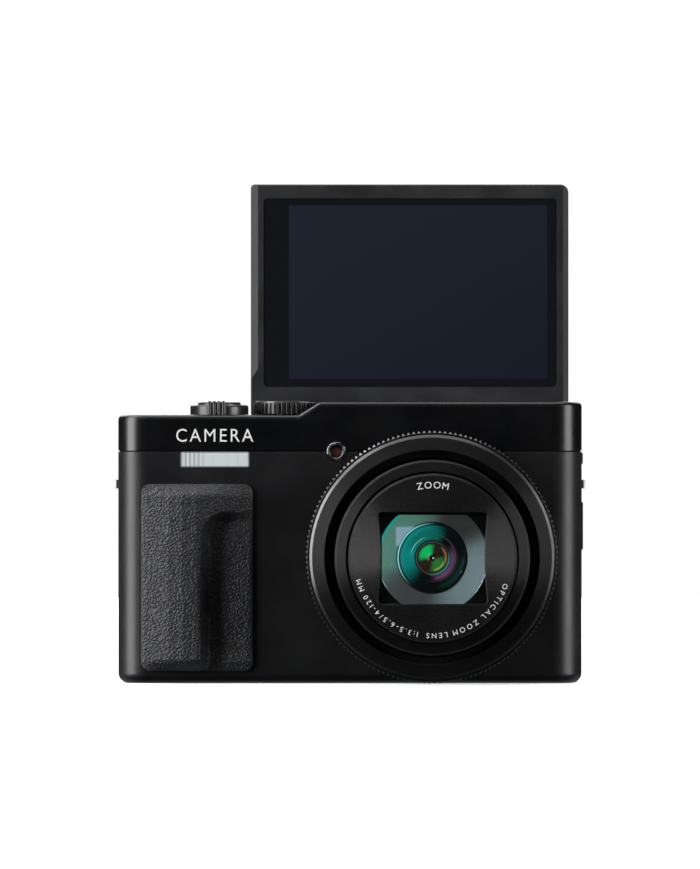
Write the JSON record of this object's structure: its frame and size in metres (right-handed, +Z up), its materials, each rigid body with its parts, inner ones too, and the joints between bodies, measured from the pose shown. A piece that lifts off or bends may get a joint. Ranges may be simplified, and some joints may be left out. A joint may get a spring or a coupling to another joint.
{
  "type": "compact travel-zoom camera",
  "caption": "Pocket camera switched on: telescoping lens with a knurled control ring, leather-look grip, and a monitor flipped up over the top to face forwards.",
  "frame": {"origin": "centre of the tripod socket's mouth, on the base plane", "axes": "-Y is the front the lens faces, +X runs towards the lens side, +Z is up"},
  "size_m": [0.1138, 0.0673, 0.121],
  "materials": {
    "body_black": "satin paint, very dark blue-black",
    "grip_leather": "moulded leather grain, matte",
    "black_plastic": "fine texture",
    "gloss_black": "polished",
    "button_plastic": "satin",
    "ring_black": "black anodised, satin",
    "barrel_black": "satin",
    "bright_metal": "satin",
    "hinge_steel": "satin",
    "brass": "machined",
    "lens_glass": "coated optical glass",
    "flash_glass": "ribbed clear plastic",
    "lamp_red": "tinted clear plastic",
    "screen_glass": "cover glass with a printed black border",
    "lcd": "switched-off liquid crystal panel",
    "reflector": "bright",
    "circuit_green": "solder mask",
    "grey_metal": "pressed",
    "label_grey": "plain",
    "blue_plastic": "plain"
  },
  "bodies": {
    "camera_body": {"top_cover": "body_black", "front_cover": "body_black", "rear_cover": "body_black", "base_plate": "body_black", "grip_pad": "grip_leather", "thumb_pad": "grip_leather", "flash_window": "flash_glass", "flash_reflector": "reflector", "assist_lamp_bezel": "bright_metal", "assist_lamp": "lamp_red", "lens_housing": "barrel_black", "zoom_motor": "grey_metal", "image_sensor": "circuit_green", "main_board": "circuit_green", "chassis": "grey_metal", "battery": "label_grey", "memory_card": "blue_plastic", "tripod_socket": "brass", "strap_lugs": "bright_metal", "case_screws": "bright_metal", "viewfinder_frame": "black_plastic", "viewfinder_lens": "lens_glass", "hdmi_socket": "grey_metal", "usb_socket": "grey_metal", "hinge_pin": "hinge_steel"},
    "control_ring": {"control_ring": "ring_black"},
    "drive_ring": {"drive_ring": "black_plastic"},
    "drive_pinion": {"drive_pinion": "brass"},
    "outer_barrel": {"outer_barrel": "barrel_black"},
    "inner_barrel": {"inner_barrel": "barrel_black", "name_ring": "ring_black", "front_element": "lens_glass", "rear_lens_group": "lens_glass"},
    "zoom_lever": {"zoom_lever": "ring_black"},
    "battery_door": {"battery_door": "black_plastic"},
    "door_latch": {"door_latch": "button_plastic"},
    "port_cover": {"port_cover": "black_plastic"},
    "hinge_plate": {"hinge_plate": "hinge_steel"},
    "monitor": {"monitor_shell": "black_plastic", "monitor_bezel": "black_plastic", "monitor_glass": "screen_glass", "lcd_panel": "lcd"},
    "mode_dial": {"mode_dial": "ring_black"},
    "rear_dial": {"rear_dial": "ring_black"},
    "diopter_dial": {"diopter_dial": "button_plastic"},
    "barrier_leaf_upper_1": {"barrier_leaf_upper_1": "gloss_black"},
    "barrier_leaf_lower_1": {"barrier_leaf_lower_1": "gloss_black"},
    "barrier_leaf_upper_2": {"barrier_leaf_upper_2": "gloss_black"},
    "barrier_leaf_lower_2": {"barrier_leaf_lower_2": "gloss_black"},
    "barrier_leaf_upper_3": {"barrier_leaf_upper_3": "gloss_black"},
    "barrier_leaf_lower_3": {"barrier_leaf_lower_3": "gloss_black"},
    "shutter_button": {"shutter_button": "ring_black"},
    "power_button": {"power_button": "button_plastic"},
    "record_button": {"record_button": "button_plastic"},
    "menu_button": {"menu_button": "button_plastic"},
    "viewfinder_button": {"viewfinder_button": "button_plastic"},
    "function_button": {"function_button": "button_plastic"},
    "playback_button": {"playback_button": "button_plastic"},
    "delete_button": {"delete_button": "button_plastic"},
    "cursor_pad": {"cursor_pad": "button_plastic"}
  },
  "joints": [
    {"name": "outer_barrel_extend", "type": "slide", "parent": "camera_body", "child": "outer_barrel", "axis": [0, -1, 0], "range_m": [-0.009, 0.008]},
    {"name": "inner_barrel_extend", "type": "slide", "parent": "outer_barrel", "child": "inner_barrel", "axis": [0, -1, 0], "range_m": [-0.009, 0.008]},
    {"name": "zoom_drive", "type": "hinge", "parent": "camera_body", "child": "drive_ring", "pos_m": [0.0197, -0.011, 0.0305], "axis": [0, -1, 0], "range_deg": [-90, 80]},
    {"name": "pinion_turn", "type": "hinge", "parent": "camera_body", "child": "drive_pinion", "pos_m": [-0.00697, -0.011, 0.0459], "axis": [0, -1, 0], "range_deg": [-800, 900]},
    {"name": "barrier_upper_1", "type": "slide", "parent": "inner_barrel", "child": "barrier_leaf_upper_1", "axis": [0, 0, -1], "range_m": [0, 0.01095]},
    {"name": "barrier_lower_1", "type": "slide", "parent": "inner_barrel", "child": "barrier_leaf_lower_1", "axis": [0, 0, 1], "range_m": [0, 0.01095]},
    {"name": "barrier_upper_2", "type": "slide", "parent": "inner_barrel", "child": "barrier_leaf_upper_2", "axis": [0, 0, -1], "range_m": [0, 0.0075]},
    {"name": "barrier_lower_2", "type": "slide", "parent": "inner_barrel", "child": "barrier_leaf_lower_2", "axis": [0, 0, 1], "range_m": [0, 0.0075]},
    {"name": "barrier_upper_3", "type": "slide", "parent": "inner_barrel", "child": "barrier_leaf_upper_3", "axis": [0, 0, -1], "range_m": [0, 0.004]},
    {"name": "barrier_lower_3", "type": "slide", "parent": "inner_barrel", "child": "barrier_leaf_lower_3", "axis": [0, 0, 1], "range_m": [0, 0.004]},
    {"name": "control_ring_turn", "type": "hinge", "parent": "camera_body", "child": "control_ring", "pos_m": [0.0197, -0.019, 0.0305], "axis": [0, -1, 0], "continuous": true},
    {"name": "zoom_lever_swing", "type": "hinge", "parent": "camera_body", "child": "zoom_lever", "pos_m": [-0.0316, -0.0045, 0.066], "axis": [0, 0, 1], "range_deg": [-30, 30], "stiffness_Nm_per_rad": 0.02},
    {"name": "mode_dial_turn", "type": "hinge", "parent": "camera_body", "child": "mode_dial", "pos_m": [-0.0151, 0.0005, 0.066], "axis": [0, 0, 1], "continuous": true},
    {"name": "rear_dial_turn", "type": "hinge", "parent": "camera_body", "child": "rear_dial", "pos_m": [-0.045, 0.007, 0.0612], "axis": [0, 0, 1], "continuous": true},
    {"name": "diopter_dial_turn", "type": "hinge", "parent": "camera_body", "child": "diopter_dial", "pos_m": [0.0518, -0.002, 0.054], "axis": [0, 0, 1], "continuous": true},
    {"name": "battery_door_open", "type": "hinge", "parent": "camera_body", "child": "battery_door", "pos_m": [-0.0279, -0.0036, 0.00065], "axis": [0, -1, 0], "range_deg": [0, 90]},
    {"name": "battery_latch", "type": "slide", "parent": "battery_door", "child": "door_latch", "axis": [1, 0, 0], "range_m": [0, 0.003]},
    {"name": "port_cover_open", "type": "hinge", "parent": "camera_body", "child": "port_cover", "pos_m": [0.0558, 0.0025, 0.0379], "axis": [0, 0, 1], "range_deg": [0, 100]},
    {"name": "monitor_flip", "type": "hinge", "parent": "camera_body", "child": "hinge_plate", "pos_m": [0, 0.0149, 0.0603], "axis": [1, 0, 0], "range_deg": [-180, 0]},
    {"name": "monitor_lift", "type": "slide", "parent": "hinge_plate", "child": "monitor", "axis": [0, 0, 1], "range_m": [-0.003, 0]},
    {"name": "shutter_button_press", "type": "slide", "parent": "camera_body", "child": "shutter_button", "axis": [0, 0, -1], "range_m": [0, 0.0006], "stiffness_N_per_m": 1200},
    {"name": "power_button_press", "type": "slide", "parent": "camera_body", "child": "power_button", "axis": [0, 0, -1], "range_m": [0, 0.0003], "stiffness_N_per_m": 900},
    {"name": "record_button_press", "type": "slide", "parent": "camera_body", "child": "record_button", "axis": [0, 0, -1], "range_m": [0, 0.0003], "stiffness_N_per_m": 900},
    {"name": "menu_button_press", "type": "slide", "parent": "camera_body", "child": "menu_button", "axis": [0, -1, 0], "range_m": [0, 0.0004], "stiffness_N_per_m": 900},
    {"name": "viewfinder_button_press", "type": "slide", "parent": "camera_body", "child": "viewfinder_button", "axis": [0, -1, 0], "range_m": [0, 0.0003], "stiffness_N_per_m": 900},
    {"name": "function_button_press", "type": "slide", "parent": "camera_body", "child": "function_button", "axis": [0, -1, 0], "range_m": [0, 0.0003], "stiffness_N_per_m": 900},
    {"name": "playback_button_press", "type": "slide", "parent": "camera_body", "child": "playback_button", "axis": [0, -1, 0], "range_m": [0, 0.0003], "stiffness_N_per_m": 900},
    {"name": "delete_button_press", "type": "slide", "parent": "camera_body", "child": "delete_button", "axis": [0, -1, 0], "range_m": [0, 0.0003], "stiffness_N_per_m": 900},
    {"name": "cursor_pad_rock", "type": "hinge", "parent": "camera_body", "child": "cursor_pad", "pos_m": [-0.04, 0.0126, 0.0255], "axis": [1, 0, 0], "range_deg": [-2, 2], "stiffness_Nm_per_rad": 0.05}
  ],
  "couplings": [
    {"joint": "inner_barrel_extend", "follows": "outer_barrel_extend", "ratio": 1},
    {"joint": "zoom_drive", "follows": "outer_barrel_extend", "rad_per_m": 174.53},
    {"joint": "pinion_turn", "follows": "outer_barrel_extend", "rad_per_m": -1745.3},
    {"joint": "barrier_lower_1", "follows": "barrier_upper_1", "ratio": 1},
    {"joint": "barrier_upper_2", "follows": "barrier_upper_1", "ratio": 0.68493},
    {"joint": "barrier_lower_2", "follows": "barrier_upper_1", "ratio": 0.68493},
    {"joint": "barrier_upper_3", "follows": "barrier_upper_1", "ratio": 0.3653},
    {"joint": "barrier_lower_3", "follows": "barrier_upper_1", "ratio": 0.3653},
    {"joint": "monitor_lift", "follows": "monitor_flip", "m_per_rad": 0.00095493}
  ]
}
